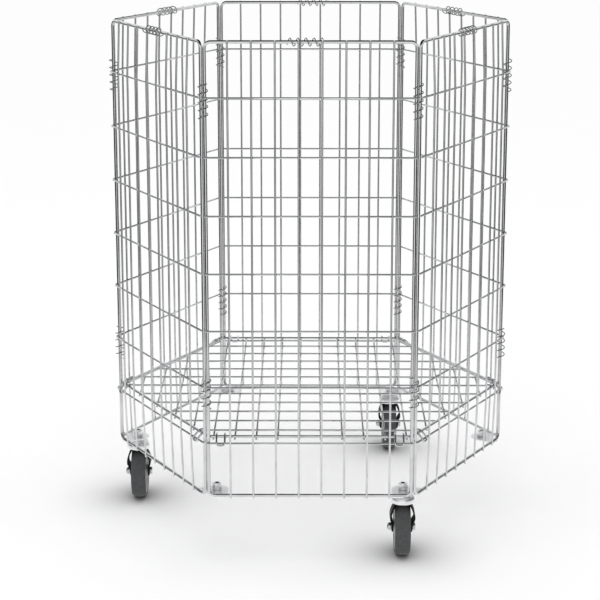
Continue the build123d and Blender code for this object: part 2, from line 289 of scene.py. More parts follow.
def rampNode(nodes, links, source, stops):  # stops are (position, colour)
    ramp = nodes.new("ShaderNodeValToRGB")
    ramp.color_ramp.elements[0].position, ramp.color_ramp.elements[0].color = stops[0]
    ramp.color_ramp.elements[1].position, ramp.color_ramp.elements[1].color = stops[-1]
    for position, colour in stops[1:-1]:
        ramp.color_ramp.elements.new(position).color = colour
    links.new(source, ramp.inputs["Fac"])
    return ramp


def rangeNode(nodes, links, source, start, end, low, high):
    spread = nodes.new("ShaderNodeMapRange")
    spread.inputs["From Min"].default_value = start
    spread.inputs["From Max"].default_value = end
    spread.inputs["To Min"].default_value = low
    spread.inputs["To Max"].default_value = high
    links.new(source, spread.inputs["Value"])
    return spread


def bumpNode(nodes, links, source, shader, depth):
    bump = nodes.new("ShaderNodeBump")
    bump.inputs["Distance"].default_value = depth
    links.new(source, bump.inputs["Height"])
    links.new(bump.outputs["Normal"], shader.inputs["Normal"])


def grey(level, warmth=0.0):
    return (level * (1 + warmth), level, level * (1 - warmth), 1)


noiseLow, noiseHigh = 0.3, 0.7  # a noise seldom leaves this range

zincLook = {
    "dull": 0.58,
    "bright": 0.7,
    "cool": -0.012,  # a slightly blue zinc
    "cloud": 38,
    "patches": 4,  # patches of roughness to a cloud's width
    "roughLow": 0.06,
    "roughHigh": 0.13,
    "grain": 600,
    "grainDepth": 0.004 * mm,
}
# painted shade: the coils' zinc is made far darker than the wires' to stand in for the dark reflections the
# coils show
coilZincShadeLook = {**zincLook, "dull": 0.24, "bright": 0.34, "cloud": 90, "grain": 900}
pressedZinc = {
    **zincLook,
    "dull": 0.82,
    "bright": 0.92,
    "cloud": 120,
    "roughLow": 0.34,
    "roughHigh": 0.44,
    "grain": 500,
    "grainDepth": 0.01 * mm,
}
nutZinc = {
    **zincLook,
    "dull": 0.78,
    "bright": 0.88,
    "cloud": 200,
    "roughLow": 0.25,
    "roughHigh": 0.36,
    "grain": 1200,
    "grainDepth": 0.006 * mm,
}
# painted shade: a darker copy of the nuts' zinc for the axle bolt's head and the lock nut, darkened to stand
# in for the shade at the axle
axleZincShadeLook = {**nutZinc, "dull": 0.46, "bright": 0.58}


def zincMaterial(name, look):
    material, nodes, links = nodeMaterial(name)
    shader, place = nodes["Principled BSDF"], nodes.new("ShaderNodeTexCoord")
    shader.inputs["Metallic"].default_value = 1
    cloud = noiseNode(nodes, links, place, look["cloud"], 4)
    stops = [(noiseLow, grey(look["dull"], look["cool"])), (noiseHigh, grey(look["bright"], look["cool"]))]
    tint = rampNode(nodes, links, cloud.outputs["Fac"], stops)
    links.new(tint.outputs["Color"], shader.inputs["Base Color"])
    patch = noiseNode(nodes, links, place, look["cloud"] * look["patches"], 2)
    low, high = look["roughLow"], look["roughHigh"]
    rough = rangeNode(nodes, links, patch.outputs["Fac"], noiseLow, noiseHigh, low, high)
    links.new(rough.outputs["Result"], shader.inputs["Roughness"])
    grain = noiseNode(nodes, links, place, look["grain"], 3)
    bumpNode(nodes, links, grain.outputs["Fac"], shader, look["grainDepth"])
    return material


zincWire = zincMaterial("brightZincWire", zincLook)
coilPaintedShadeZinc = zincMaterial("coilZincPaintedShade", coilZincShadeLook)
zincSheet = zincMaterial("zincSheet", pressedZinc)
zincFastener = zincMaterial("zincFastener", nutZinc)
axleShadedZinc = zincMaterial("axleZincPaintedShade", axleZincShadeLook)

wheelPlastic = {
    "dark": 0.36,
    "light": 0.42,
    "warmth": -0.01,
    "gloss": 0.5,
    "speckle": 150,
    "speckleLow": 0.35,  # all dark where the noise is below this
    "speckleHigh": 0.68,  # all light above this
    "roughLow": 0.42,
    "roughHigh": 0.55,
    "grain": 900,
    "grainDepth": 0.02 * mm,
}
coating = {
    **wheelPlastic,
    "dark": 0.002,
    "light": 0.004,
    "warmth": 0,
    "gloss": 0.06,
    "speckle": 90,
    "roughLow": 0.4,
    "grain": 700,
}
rubber = {
    **wheelPlastic,
    "dark": 0.056,
    "light": 0.067,
    "warmth": -0.03,
    "speckle": 140,
    "roughLow": 0.68,
    "roughHigh": 0.82,
    "grain": 1100,
    "grainDepth": 0.03 * mm,
}
palePlastic = {
    **wheelPlastic,
    "dark": 0.62,
    "light": 0.68,
    "warmth": 0,
    "speckle": 200,
    "roughLow": 0.35,
    "roughHigh": 0.45,
    "grain": 600,
}
# painted shade: a near-black steel for the threads in the nuts' bores, the bolts' shanks and the castor
# stems, standing in for the shade down the holes they sit in
threadShadeLook = {
    **wheelPlastic,
    "dark": 0.015,
    "light": 0.04,
    "warmth": 0,
    "speckle": 400,
    "roughLow": 0.5,
    "roughHigh": 0.7,
    "grain": 1500,
    "grainDepth": 0.01 * mm,
}


def mouldedMaterial(name, look):
    material, nodes, links = nodeMaterial(name)
    shader, place = nodes["Principled BSDF"], nodes.new("ShaderNodeTexCoord")
    shader.inputs["Specular IOR Level"].default_value = look["gloss"]
    cloud = noiseNode(nodes, links, place, look["speckle"], 5)
    dark, light = grey(look["dark"], look["warmth"]), grey(look["light"], look["warmth"])
    stops = [(look["speckleLow"], dark), (look["speckleHigh"], light)]
    tint = rampNode(nodes, links, cloud.outputs["Fac"], stops)
    links.new(tint.outputs["Color"], shader.inputs["Base Color"])
    low, high = look["roughHigh"], look["roughLow"]  # the dark specks are the rougher ones
    rough = rangeNode(nodes, links, cloud.outputs["Fac"], noiseLow, noiseHigh, low, high)
    links.new(rough.outputs["Result"], shader.inputs["Roughness"])
    grain = noiseNode(nodes, links, place, look["grain"], 2)
    bumpNode(nodes, links, grain.outputs["Fac"], shader, look["grainDepth"])
    return material


blackSheet = mouldedMaterial("blackCoatedSheet", coating)
greyPlastic = mouldedMaterial("greyWheelPlastic", wheelPlastic)
treadRubber = mouldedMaterial("treadRubber", rubber)
slidePlastic = mouldedMaterial("slidePlastic", palePlastic)
threadPaintedShade = mouldedMaterial("threadPaintedShade", threadShadeLook)
print("materials made")

# panels: a bent rim with level rows on its outer side and upright columns on the rows
panelLook = {
    "width": 350 * mm,  # rim wire, centre to centre
    "height": 789 * mm,
    "rimWire": 6 * mm,
    "rimBend": 10 * mm,
    "meshWire": 3.5 * mm,
    "rowPitch": 100 * mm,
    "rowCount": 7,
    "firstRow": 96.5 * mm,  # above the bottom rim
    "columnPitch": 39.2 * mm,
    "columnCount": 8,
    "columnBend": 6 * mm,  # where a column leaves the rows for the rim
    "rimSides": 18,
    "meshSides": 12,
    "rimSteps": 8,
    "columnSteps": 4,
    "weld": 1.25 * mm,  # radius of the weld's bead where two wires cross
    "weldAtCrossing": (1.3, 0.8, 1.3),  # how far the bead is stretched along, out and up
    "weldAtSide": (1.4, 0.9, 1.3),
    "weldAtEnd": (1.3, 0.9, 1.4),
}
panelTurns = {
    "front": -90,
    "front_right": -30,
    "back_right": 30,
    "back": 90,
    "back_left": 150,
    "front_left": 210,
}
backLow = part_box("panel_back")[0]
panelBase = backLow.z + panelLook["rimWire"] / 2
panelTop = panelBase + panelLook["height"]
apothem = backLow.y + panelLook["rimWire"] / 2
rowOffset = (panelLook["rimWire"] + panelLook["meshWire"]) / 2
columnOffset = rowOffset + panelLook["meshWire"]
lowestRow = panelBase + panelLook["firstRow"]
highestRow = lowestRow + (panelLook["rowCount"] - 1) * panelLook["rowPitch"]
firstColumn = evenly(panelLook["columnCount"], panelLook["columnPitch"])[0]


def panelRim(look):
    half = look["width"] / 2
    corners = [(half, 0, panelTop), (-half, 0, panelTop), (-half, 0, panelBase), (half, 0, panelBase)]
    path = drawnPath("panelRim", [*corners, corners[0]])
    roundCorners(path, corners, look["rimBend"], look["rimSteps"])
    return wireAlong(path, look["rimWire"], look["rimSides"])


def panelRows(look):
    half = (look["width"] + look["rimWire"]) / 2
    start, end = (-half, rowOffset, lowestRow), (half, rowOffset, lowestRow)
    row = straightWire("panelRows", start, end, look["meshWire"], look["meshSides"])
    return repeated(row, look["rowCount"], (0, 0, look["rowPitch"]))


def panelColumns(look):
    x, reach, wire = firstColumn, look["rimWire"] / 2, look["meshWire"]
    knees = [(x, columnOffset, lowestRow - wire), (x, columnOffset, highestRow + wire)]
    points = [(x, rowOffset, panelBase - reach), *knees, (x, rowOffset, panelTop + reach)]
    path = drawnPath("panelColumns", points)
    roundCorners(path, knees, look["columnBend"], look["columnSteps"])
    column = wireAlong(path, wire, look["meshSides"])
    return repeated(column, look["columnCount"], (look["columnPitch"], 0, 0))


def weldBead(name, place, radius, stretch):  # a low bead in the corner between two crossing wires
    deselectAll()
    bpy.ops.mesh.primitive_ico_sphere_add(subdivisions=1, radius=radius, location=place)
    bpy.ops.transform.resize(value=stretch)
    return settle(named(name))


def panelWelds(look):
    radius, half = look["weld"], look["width"] / 2
    between, onRim = (rowOffset + columnOffset) / 2, (look["rimWire"] / 2 + rowOffset) / 2
    nextRow, nextColumn = (0, 0, look["rowPitch"]), (look["columnPitch"], 0, 0)
    crossings = weldBead("weldCrossings", (firstColumn, between, lowestRow), radius, look["weldAtCrossing"])
    repeated(crossings, look["columnCount"], nextColumn)
    repeated(crossings, look["rowCount"], nextRow)
    sides = weldBead("weldSides", (-half, onRim, lowestRow), radius, look["weldAtSide"])
    repeated(sides, 2, (look["width"], 0, 0))
    repeated(sides, look["rowCount"], nextRow)
    ends = weldBead("weldEnds", (firstColumn, onRim, panelBase), radius, look["weldAtEnd"])
    repeated(ends, look["columnCount"], nextColumn)
    repeated(ends, 2, (0, 0, look["height"]))
    return smoothed(joined("panelWelds", [crossings, sides, ends]), 80)


panelParts = [panelRim(panelLook), panelRows(panelLook), panelColumns(panelLook), panelWelds(panelLook)]
panelPattern = joined("panelPattern", panelParts)
for name, turn in panelTurns.items():
    piece = copied(panelPattern, f"mesh_panel_{name}", outward(turn, apothem))
    dress(piece, "cage", zincWire, f"panel_{name}")
discard(panelPattern)
print("panels made")

# wire coils, wound on the rims
coilLook = {
    "wire": 1.8 * mm,
    "pitch": 13.2 * mm,
    "turns": 4.5,
    "hingeBore": 14.3 * mm,
    "rimBore": 11.6 * mm,
    "stepsPerTurn": 28,
    "sides": 10,
    "lowerFacing": 315,  # degrees, where a coil's middle lies
    "upperFacing": 90,
    "rimShifts": {"front": 9 * mm, "back": 5 * mm},  # coils that have slid along their rims
}
cornerTurns = {
    "right": 0,
    "back_right": 60,
    "back_left": 120,
    "left": 180,
    "front_left": 240,
    "front_right": 300,
}
sin60, cos60 = math.sin(math.radians(60)), math.cos(math.radians(60))
cornerReach = apothem / math.cos(math.radians(30))  # centre to a corner of the hexagon
setBack = (cornerReach - panelLook["width"]) / 2  # side rim from that corner
coilReach = cornerReach - setBack * cos60


def coil(name, look, bore, facing):
    radius, turns, pitch = (bore + look["wire"]) / 2, look["turns"], look["pitch"]
    tilt = math.atan(pitch / (math.tau * radius))
    start = (radius, 0, -pitch * turns / 2)
    wire = circle(name, look["sides"], look["wire"] / 2, start, (tilt - math.pi / 2, 0, 0))
    screw = wire.modifiers.new("wind", "SCREW")
    screw.axis = "Z"
    screw.angle = math.tau * turns
    screw.screw_offset = pitch * turns
    screw.steps = screw.render_steps = round(look["stepsPerTurn"] * turns)
    finishModifiers(wire)
    editAll(wire)
    bpy.ops.mesh.fill_holes(sides=0)
    tidyShell(wire)
    wire.matrix_world = Matrix.Rotation(math.radians(facing) - math.pi * turns, 4, "Z")
    return smoothed(settle(wire), 60)


def hingeCoils(node, name, facing):  # one round the side rims of every corner
    low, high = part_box(node)
    pattern = coil("coilPattern", coilLook, coilLook["hingeBore"], facing)
    lift = Matrix.Translation((0, 0, (low.z + high.z) / 2))
    coils = []
    for corner, turn in cornerTurns.items():
        coils.append(copied(pattern, f"{name}_{corner}", outward(turn, coilReach) @ lift))
    discard(pattern)
    dress(joined(name, coils), "cage", coilPaintedShadeZinc, node)


def rimCoils(look):  # one on the middle of every top rim
    across = (rowOffset + panelLook["meshWire"] / 2 - panelLook["rimWire"] / 2) / 2
    coils = []
    for name, turn in panelTurns.items():
        shift = look["rimShifts"].get(name, 0)
        facing = 45 * round(shift / look["pitch"] * 8)  # a slid coil has turned, by eighths
        pattern = coil(f"top_coil_{name}", look, look["rimBore"], facing)
        lay = Matrix.Translation((shift, across, panelTop)) @ Matrix.Rotation(math.radians(90), 4, "Y")
        pattern.matrix_world = outward(turn, apothem) @ lay
        coils.append(settle(pattern))
    return joined("top_rim_coils", coils)


hingeCoils("hinge_coils_lower", "corner_coils_lower", coilLook["lowerFacing"])
hingeCoils("hinge_coils_upper", "corner_coils_upper", coilLook["upperFacing"])
dress(rimCoils(coilLook), "cage", coilPaintedShadeZinc, "rim_coils")
print("coils made")

# shelf: a hexagonal rim, long wires under it, cross wires on them, and hooks over the panels' lowest rows
shelfLook = {
    "rimWire": 5 * mm,
    "rimBend": 12 * mm,
    "meshWire": 3.5 * mm,
    "crossPitch": 51.7 * mm,
    "crossCount": 11,
    "firstCross": 35.3 * mm,  # from the front of the rim
    "longPitch": 37.1 * mm,
    "longCount": 18,
    "hookWire": 3.5 * mm,
    "hookWidth": 14.2 * mm,  # between its legs' middles
    "hookPlace": 154 * mm,  # from the middle of a side
    "hookOverlap": 6 * mm,  # length inside the rim's middle
    "hookReach": 2 * mm,  # from the rim's middle to the knee
    "hookDrop": 2.8 * mm,  # how far the foot hangs under the row
    "hookGap": 0.3 * mm,
    "hookKnee": 1.8 * mm,  # bend by the shelf's rim
    "hookFoot": 4.5 * mm,  # bend at the bottom of the U
    "rimSides": 16,
    "meshSides": 12,
    "rimSteps": 6,
    "kneeSteps": 3,
    "rowSteps": 4,
    "footSteps": 6,
    "weld": 1.2 * mm,
    "weldStretch": (1.3, 1.3, 0.8),
}
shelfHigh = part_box("shelf_grid")[1]
shelfHeight = shelfHigh.z - shelfLook["rimWire"] / 2
shelfApothem = shelfHigh.y - shelfLook["rimWire"] / 2


def shelfRim(look):
    reach = shelfApothem / sin60
    turns = [math.radians(60 * k) for k in range(6)]
    corners = [(reach * math.cos(a), reach * math.sin(a), shelfHeight) for a in turns]
    path = drawnPath("shelfRim", [*corners, corners[0]])
    roundCorners(path, corners, look["rimBend"] * math.tan(math.radians(30)), look["rimSteps"])
    return wireAlong(path, look["rimWire"], look["rimSides"])


def shelfWires(look):
    wire = look["meshWire"]
    longHeight = shelfHeight - (look["rimWire"] + wire) / 2
    crossHeight = longHeight + wire
    inside, outside = shelfApothem - look["rimWire"] / 2, shelfApothem + look["rimWire"] / 2
    wires, longs, crosses = [], [], []
    for k, x in enumerate(evenly(look["longCount"], look["longPitch"])):
        half = min(outside, (outside - (abs(x) + wire / 2) * sin60) / cos60)
        start, end = (x, -half, longHeight), (x, half, longHeight)
        wires.append(straightWire(f"long{k}", start, end, wire, look["meshSides"]))
        longs.append((x, half))
    for k in range(look["crossCount"]):
        y = -shelfApothem + look["firstCross"] + k * look["crossPitch"]
        half = (inside - (abs(y) + wire / 2) * cos60) / sin60
        start, end = (-half, y, crossHeight), (half, y, crossHeight)
        wires.append(straightWire(f"cross{k}", start, end, wire, look["meshSides"]))
        crosses.append((y, half))
    between = (longHeight + crossHeight) / 2
    welds = []
    for x, halfLong in longs:
        for y, halfCross in crosses:
            if abs(y) < halfLong - wire and abs(x) < halfCross - wire:
                welds.append(weldBead("shelfWeld", (x, y, between), look["weld"], look["weldStretch"]))
    return [*wires, smoothed(joined("shelfWelds", welds), 80)]


def shelfHook(look):  # a U of wire that leaves the rim level, slopes over the row and hangs down outside it
    level = shelfHeight + (look["rimWire"] + look["hookWire"]) / 2
    knee = shelfApothem - apothem + look["hookReach"]
    across, down = rowOffset - knee, lowestRow - level
    spacing = (panelLook["meshWire"] + look["hookWire"]) / 2 + look["hookGap"]
    slope = math.atan2(down, across) + math.asin(spacing / math.hypot(across, down))
    outer = rowOffset + spacing
    bend = level + (outer - knee) * math.tan(slope)
    foot = lowestRow - look["hookDrop"]
    start = knee - look["hookReach"] - look["hookOverlap"]
    side = [(start, level), (knee, level), (outer, bend), (outer, foot)]
    half = look["hookWidth"] / 2
    legs = [(-half, *point) for point in side] + [(half, *point) for point in reversed(side)]
    path = drawnPath("shelfHook", legs)
    overRow = abs(spacing * math.tan((math.pi / 2 + slope) / 2))
    roundCorners(path, [(x, outer, foot) for x in (-half, half)], look["hookFoot"], look["footSteps"])
    roundCorners(path, [(x, outer, bend) for x in (-half, half)], overRow, look["rowSteps"])
    roundCorners(path, [(x, knee, level) for x in (-half, half)], look["hookKnee"], look["kneeSteps"])
    return wireAlong(path, look["hookWire"], look["meshSides"])


shelfMesh = joined("shelf_wire_grid", [shelfRim(shelfLook), *shelfWires(shelfLook)])
dress(shelfMesh, "shelf", zincWire, "shelf_grid")
hookPattern = shelfHook(shelfLook)
hooks = []
for name, turn in panelTurns.items():
    for side in (-1, 1):
        place = Matrix.Translation((side * shelfLook["hookPlace"], 0, 0))
        hooks.append(copied(hookPattern, f"hook_{name}_{side}", outward(turn, apothem) @ place))
discard(hookPattern)
dress(joined("shelf_hook_wires", hooks), "shelf", zincWire, "shelf_hooks")
print("shelf made")

# corner plates, made about the stem's axis with +X towards the corner
plateLook = {
    "sheet": 2 * mm,
    "radius": 20 * mm,
    "stemInset": 33 * mm,  # corner of the rims to the stem
    "gripStart": 17 * mm,  # along a bottom rim, from the corner
    "gripEnd": 37 * mm,
    "gripRise": 0.2 * mm,  # how far a gutter wraps over the rim's middle
    "gap": 0.1 * mm,
    "hole": 8.4 * mm,
    "holeCut": 10 * mm,  # length of the shape that cuts the hole
    "softEdge": 0.35 * mm,
}
stemReach = cornerReach - plateLook["stemInset"]
plateTop = panelBase + plateLook["sheet"] / 2
plateBottom = plateTop - plateLook["sheet"]


def alongRim(side):  # from the corner along one of its two bottom rims
    return Vector((-cos60, side * sin60, 0))


def plateSheet(look):
    sheet = cylinder("plateSheet", 64, look["radius"], look["sheet"], (0, 0, panelBase))
    inset = panelLook["rimWire"] / 2 + look["gap"]
    edges = [sheet]
    for side in (-1, 1):
        along, across = alongRim(side), Vector((sin60, side * cos60, 0))
        base = Vector((look["stemInset"], 0, plateBottom)) - across * inset
        edge = drawnPath("gripEdge", [base + along * look["gripStart"], base + along * look["gripEnd"]])
        edges.append(extruded(edge, (0, 0, look["sheet"])))
    return hullOf(joined("plateSheet", edges))


def plateGutter(look, side):  # the half pipe that cradles a bottom rim
    along = alongRim(side)
    start = Vector((look["stemInset"], 0, panelBase)) + along * look["gripStart"]
    radius = panelLook["rimWire"] / 2 + look["gap"] + look["sheet"] / 2
    gutter = circle("plateGutter", 40, radius, start, along.to_track_quat("Z", "Y").to_euler())
    editVertices(gutter, lambda co: co.z > panelBase + look["gripRise"])
    bpy.ops.mesh.delete(type="VERT")
    extruded(gutter, along * (look["gripEnd"] - look["gripStart"]))
    wall = gutter.modifiers.new("wall", "SOLIDIFY")
    wall.thickness = look["sheet"]
    wall.offset = 0
    return tidyShell(finishModifiers(gutter))


def cornerPlate(look):
    plate = plateSheet(look)
    for side in (-1, 1):
        cutWith(plate, plateGutter(look, side), "UNION")
    hole = cylinder("plateHole", 40, look["hole"] / 2, look["holeCut"], (0, 0, panelBase))
    cutWith(plate, hole, "DIFFERENCE")
    return smoothed(softenEdges(plate, look["softEdge"], 35), 40)


def cornerPlace(corner):
    return Matrix.Rotation(math.radians(cornerTurns[corner]), 4, "Z") @ Matrix.Translation((stemReach, 0, 0))


platePattern = cornerPlate(plateLook)
for corner in cornerTurns:
    piece = copied(platePattern, f"pressed_plate_{corner}", cornerPlace(corner))
    dress(piece, "cage", zincSheet, f"corner_plate_{corner}")
discard(platePattern)

# hexagon nuts and bolts
fastenerLook = {
    "thread": 8 * mm,
    "threadPitch": 1.25 * mm,
    "threadFit": 0.99,  # part of the thread's diameter that a bolt fills
    "boltRoot": 0.9,  # radius between the ridges, as part of the thread's
    "nutRoot": 0.97,
    "tip": 0.8 * mm,
    "nutFlats": 14 * mm,
    "nutHeight": 12 * mm,
    "nutRecess": 4 * mm,
    "nutBore": 6.7 * mm,  # over the crests of its thread
    "nutPlain": 0.5 * mm,  # no ridges this near the top
    "sinkDepth": 0.4 * mm,
    "sinkWidth": 0.5 * mm,
    "sinkRise": 0.1 * mm,
    "nutSoft": 0.3 * mm,
    "boltFlats": 13 * mm,
    "boltHead": 5.3 * mm,
    "boltSoft": 0.25 * mm,
    "softAngle": 25,
    "chamferFace": 0.96,  # part of the flats that the chamfers leave
    "chamferAngle": 30,
    "chamferSlack": 0.01 * mm,
    "lockNut": 7.5 * mm,
    "lockBody": 0.72,  # part of the lock nut's height that is a hexagon
    "collarWidth": 0.9,  # part of the flats
    "collarDrop": 0.9 * mm,
    "collarSlope": 1.4 * mm,
    "collarSoft": 0.3 * mm,
    "axleEnd": 0.5 * mm,
}
stemEnd = plateTop + fastenerLook["nutHeight"] - fastenerLook["nutRecess"]


def hexBlank(name, look, flats, bottom, top, chamferTop=True):  # a hexagon, cut to shape by a turned lens
    corner, face = flats / 2 / sin60, flats / 2 * look["chamferFace"]
    middle, turn = (0, 0, (top + bottom) / 2), (0, 0, math.radians(30))
    blank = cylinder(name, 6, corner, top - bottom, middle, turn)
    drop = (corner - face) * math.tan(math.radians(look["chamferAngle"]))
    wide = corner + look["chamferSlack"]
    outline = [(0, 0, bottom), (face, 0, bottom), (wide, 0, bottom + drop)]
    if chamferTop:
        outline += [(wide, 0, top - drop), (face, 0, top), (0, 0, top)]
    else:
        outline += [(corner + over, 0, top + over), (0, 0, top + over)]
    return cutWith(blank, turned("hexLens", outline, 48), "INTERSECT")


def ridges(crest, root, bottom, top, pitch):  # rings that look like a thread
    points, z = [], bottom
    while z + pitch < top:
        points += [(root, 0, z + pitch / 2), (crest, 0, z + pitch)]
        z += pitch
    return points


def tallNut(look):
    top = plateTop + look["nutHeight"]
    nut = hexBlank("tallNut", look, look["nutFlats"], plateTop, top)
    softenEdges(nut, look["nutSoft"], look["softAngle"])
    root, crest = look["thread"] / 2, look["nutBore"] / 2
    wide, ridgeTop = crest + look["sinkWidth"], top - look["nutPlain"]
    outline = [(0, 0, plateTop - over), (root, 0, plateTop - over), (root, 0, stemEnd), (crest, 0, stemEnd)]
    outline += ridges(crest, root * look["nutRoot"], stemEnd, ridgeTop, look["threadPitch"])
    outline += [(crest, 0, top - look["sinkDepth"]), (wide, 0, top + look["sinkRise"])]
    outline += [(wide, 0, top + over), (0, 0, top + over)]
    smoothed(cutWith(nut, turned("nutBore", outline, 36), "DIFFERENCE"), 30)
    # the faces down the bore get the near-black thread material: painted shade inside the hole
    coat(nut, zincFastener, threadPaintedShade)
    for face in nut.data.polygons:
        face.material_index = int(math.hypot(face.center.x, face.center.y) < root)
    return nut


def threadedShank(look, bottom, top):
    radius, tip = look["thread"] * look["threadFit"] / 2, look["tip"]
    outline = [(0, 0, bottom), (radius, 0, bottom)]
    outline += ridges(radius, radius * look["boltRoot"], bottom, top - tip, look["threadPitch"])
    outline += [(radius - tip, 0, top), (0, 0, top)]
    return turned("boltShank", outline, 36)


def hexBolt(look, headTop, shankTop, finish):  # head below, thread upwards
    head = hexBlank("boltHead", look, look["boltFlats"], headTop - look["boltHead"], headTop, False)
    smoothed(softenEdges(head, look["boltSoft"], look["softAngle"]), 30)
    shank = threadedShank(look, headTop, shankTop)
    coat(head, finish)
    # the shank gets the near-black thread material: painted shade, as the shank sits in holes
    coat(shank, threadPaintedShade)
    return joined("hexBolt", [head, shank])


def atCorners(pattern, name, corners):
    copies = [copied(pattern, f"{name}_{corner}", cornerPlace(corner)) for corner in corners]
    discard(pattern)
    return joined(name, copies)


castorCorners = ("left", "back_right", "front_right")
plainCorners = ("right", "back_left", "front_left")
nuts = atCorners(tallNut(fastenerLook), "tall_nuts", cornerTurns)
dress(nuts, "cage", zincFastener, "corner_nuts")
bolts = atCorners(hexBolt(fastenerLook, plateBottom, stemEnd, zincFastener), "plate_bolts", plainCorners)
dress(bolts, "cage", zincFastener, "corner_bolts")
print("corner plates and fasteners made")

# castors, made about the stem's axis with the wheel trailing towards +Y
castorLook = {
    "wheel": 100 * mm,
    "wheelWidth": 27.5 * mm,
    "treadDepth": 7 * mm,
    "treadCrown": 1.6 * mm,
    "treadShoulder": 4.8 * mm,
    "treadSide": 0.6 * mm,  # side wall's end, below the shoulder's curve
    "treadFoot": 0.5 * mm,
    "hub": 28 * mm,
    "hubWidth": 30.4 * mm,
    "web": 7 * mm,
    "wheelRim": 5 * mm,
    "wheelRimInset": 1 * mm,
    "draft": 0.8 * mm,  # taper of the wheel's mould
    "webStep": 1 * mm,
    "wheelSoft": 0.3 * mm,
    "bush": 12.5 * mm,
    "bushGap": 0.05 * mm,
    "trail": 17.5 * mm,
    "sheet": 2.5 * mm,
    "inside": 31.3 * mm,  # between the legs
    "bulge": 44.6 * mm,  # over the arch where it is widest
    "archCentre": 73 * mm,  # height of that
    "forkTop": 107.5 * mm,
    "topFlat": 12 * mm,
    "crownRadius": 5 * mm,  # bend beside the flat top
    "legFlat": 8.5 * mm,  # straight part of a leg, above the axle
    "legEnd": 10 * mm,  # radius of a leg's end, seen from the side
    "legRoot": 14.5 * mm,  # radius of its wide part
    "rootHeight": 87.5 * mm,
    "pad": 20 * mm,  # length of the flat under the head
    "hole": 8.4 * mm,
    "cutSide": 10 * mm,  # how much wider the cutting shapes are than the fork
    "cutTop": 2 * mm,  # how much higher
    "forkSoft": 0.45 * mm,
    "head": 42 * mm,
    "headSkirt": 103.5 * mm,  # height of the skirt's edge
    "headWall": 2 * mm,
    "headShoulder": 111 * mm,
    "headTop": 119 * mm,
    "headCrown": 32.4 * mm,
    "headNeck": 20 * mm,
    "headSoft": 0.7 * mm,
    "ring": 2.5 * mm,  # swivel bearing between fork and head
    "gap": 0.1 * mm,
    "shoulderStep": 15,  # degrees between the points of the tread's shoulder
    "arcSteps": 7,
}
axle = Vector((0, castorLook["trail"], castorLook["wheel"] / 2))
legOutside = castorLook["inside"] / 2 + castorLook["sheet"]  # from the axle's middle


def turnedOnAxle(name, right, middle=(), softEdge=0):  # from points (along the axle, radius) and their mirror
    points = [*right, *middle, *((-x, radius) for x, radius in reversed(right))]
    outline = [(x, axle.y, axle.z + radius) for x, radius in points]
    return turned(name, outline, 96, softEdge, centre=axle, axis=(1, 0, 0))


def tyre(look):
    half, outer, foot = look["wheelWidth"] / 2, look["wheel"] / 2, look["treadFoot"]
    inner, edge = outer - look["treadDepth"], outer - look["treadCrown"]
    shoulder = look["treadShoulder"]
    right = [(half - foot, inner), (half, inner + foot), (half, edge - shoulder - look["treadSide"])]
    for k in range(1, 6):
        a = math.radians(look["shoulderStep"] * k)
        right.append((half - shoulder * (1 - math.cos(a)), edge - shoulder + shoulder * math.sin(a)))
    for part in (1, 0.75, 0.5, 0.25):  # the crown
        right.append(((half - shoulder) * part, outer - look["treadCrown"] * part**2))
    return turnedOnAxle("tyre", right, [(0, outer)])


def wheelCentre(look):
    hubHalf, hub, draft = look["hubWidth"] / 2, look["hub"] / 2, look["draft"]
    outer = look["wheel"] / 2 - look["treadDepth"]
    rimHalf = look["wheelWidth"] / 2 - look["wheelRimInset"]
    web, under = look["web"] / 2, outer - look["wheelRim"]
    right = [
        (hubHalf, look["bush"] / 2 + look["bushGap"]),
        (hubHalf, hub - draft),
        (web + look["webStep"], hub + draft),
        (web, hub + 2 * draft),
        (web, under - 2 * draft),
        (web + look["webStep"], under - draft),
        (rimHalf, under + draft),
        (rimHalf, outer),
    ]
    return turnedOnAxle("wheelCentre", right, softEdge=look["wheelSoft"])


def forkSide(look):  # half outline of the arch: upright leg, two arcs out, two over the shoulder
    wide, centre, top, flat = look["bulge"] / 2, look["archCentre"], look["forkTop"], look["topFlat"] / 2
    low = axle.z + look["legFlat"]
    rise, across, shoulderRise, crown = centre - low, wide - flat, top - centre, look["crownRadius"]
    lean = 2 * math.atan2(wide - legOutside, rise)
    swing = rise / 2 / math.sin(lean)
    shoulder = (across**2 + shoulderRise**2 - 2 * shoulderRise * crown) / 2 / (across - crown)
    meeting = math.atan2(shoulderRise - crown, shoulder - across)
    arcs = [  # centre, radius, first and last angle
        (legOutside + swing, low, swing, math.pi, math.pi - lean),
        (wide - swing, centre, swing, -lean, 0),
        (wide - shoulder, centre, shoulder, 0, meeting),
        (flat, top - crown, crown, meeting, math.pi / 2),
    ]
    side = [(legOutside, 0), (legOutside, low)]
    for x, z, radius, first, last in arcs:
        for k in range(1, look["arcSteps"] + 1):
            a = first + (last - first) * k / look["arcSteps"]
            side.append((x + radius * math.cos(a), z + radius * math.sin(a)))
    return side


def forkArch(look):  # the outer skin of the arch, then given its thickness inwards
    side = forkSide(look)
    depth = look["trail"] + look["legRoot"] + look["legEnd"]
    points = [(x, -depth, z) for x, z in side] + [(-x, -depth, z) for x, z in reversed(side)]
    skin = extruded(drawnPath("forkArch", points), (0, 2 * depth, 0))
    editAll(skin)
    bpy.ops.mesh.normals_make_consistent(inside=False)
    deselectAll()
    wall = skin.modifiers.new("wall", "SOLIDIFY")
    wall.thickness = look["sheet"]
    wall.offset = -1  # the drawn line is the outer skin
    wall.use_even_offset = True
    return tidyShell(finishModifiers(skin))


